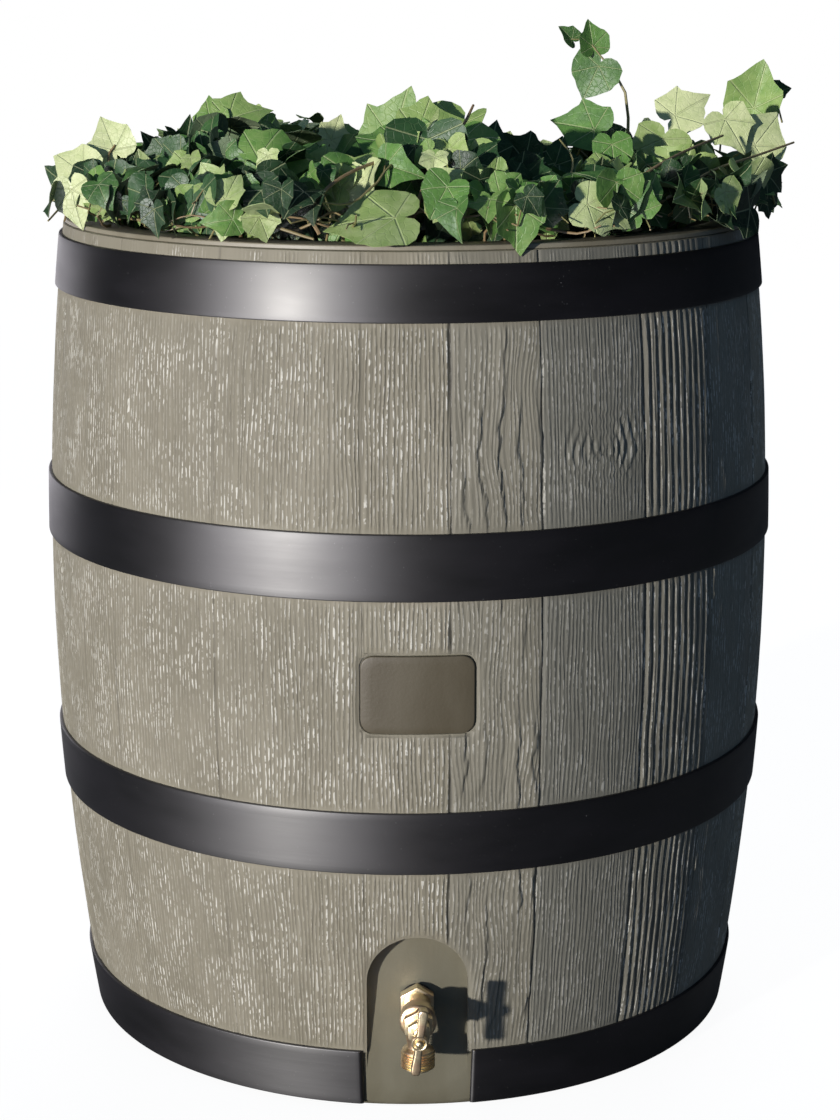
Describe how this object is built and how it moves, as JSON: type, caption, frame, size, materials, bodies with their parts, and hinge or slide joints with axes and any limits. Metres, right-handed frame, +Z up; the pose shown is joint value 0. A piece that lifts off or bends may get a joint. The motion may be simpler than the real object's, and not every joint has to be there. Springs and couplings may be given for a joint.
{
  "type": "rain barrel",
  "caption": "Moulded oak-look rain barrel with black hoops, brass hose tap with tee handle, overflow barb, and a lift-off planter top with debris screen and ivy.",
  "frame": {"origin": "centre of the base underside, on the surface the barrel stands on", "axes": "+Z up along the barrel's axis, -Y towards the front with the hose tap and the plate, +Y towards the overflow"},
  "size_m": [0.6626, 0.7175, 0.858],
  "materials": {
    "stave_plastic": "matte",
    "hoop_plastic": "gloss",
    "plate_plastic": "satin",
    "brass": "satin",
    "rubber": "matte",
    "tray_plastic": "satin",
    "black_plastic": "satin",
    "soil": "matte",
    "ivy": "matte"
  },
  "bodies": {
    "barrel": {"barrel_shell": "stave_plastic", "hoop_top": "hoop_plastic", "hoop_upper": "hoop_plastic", "hoop_lower": "hoop_plastic", "hoop_bottom": "hoop_plastic", "label_plate": "plate_plastic", "spigot_body": "brass", "spigot_washer": "rubber", "inner_washer": "rubber", "spigot_locknut": "brass", "bonnet": "brass", "stem_packing": "rubber", "packing_nut": "brass", "overflow_fitting": "black_plastic", "overflow_gasket": "rubber", "overflow_locknut": "black_plastic"},
    "planter": {"planter_tray": "tray_plastic", "potting_soil": "soil", "ivy_front_left": "ivy", "ivy_front_right": "ivy", "ivy_right": "ivy", "ivy_back": "ivy", "ivy_left": "ivy", "ivy_centre": "ivy", "ivy_sprig": "ivy"},
    "screen": {"screen_frame": "black_plastic", "screen_mesh": "black_plastic"},
    "valve_washer": {"seat_washer": "rubber"},
    "handle": {"valve_stem": "brass", "tee_handle": "brass", "handle_screw": "brass", "washer_screw": "brass"}
  },
  "joints": [
    {"name": "planter_lift", "type": "slide", "parent": "barrel", "child": "planter", "axis": [0, 0, 1], "range_m": [0, 0.25]},
    {"name": "screen_lift", "type": "slide", "parent": "planter", "child": "screen", "axis": [0, 0, 1], "range_m": [0, 0.12]},
    {"name": "washer_travel", "type": "slide", "parent": "barrel", "child": "valve_washer", "axis": [0, -1, 0], "range_m": [0, 0.0076]},
    {"name": "handle_turn", "type": "hinge", "parent": "valve_washer", "child": "handle", "pos_m": [0, -0.36, 0.095], "axis": [0, -1, 0], "range_deg": [0, 1080]}
  ],
  "couplings": [
    {"joint": "washer_travel", "follows": "handle_turn", "m_per_rad": 0.000398}
  ]
}
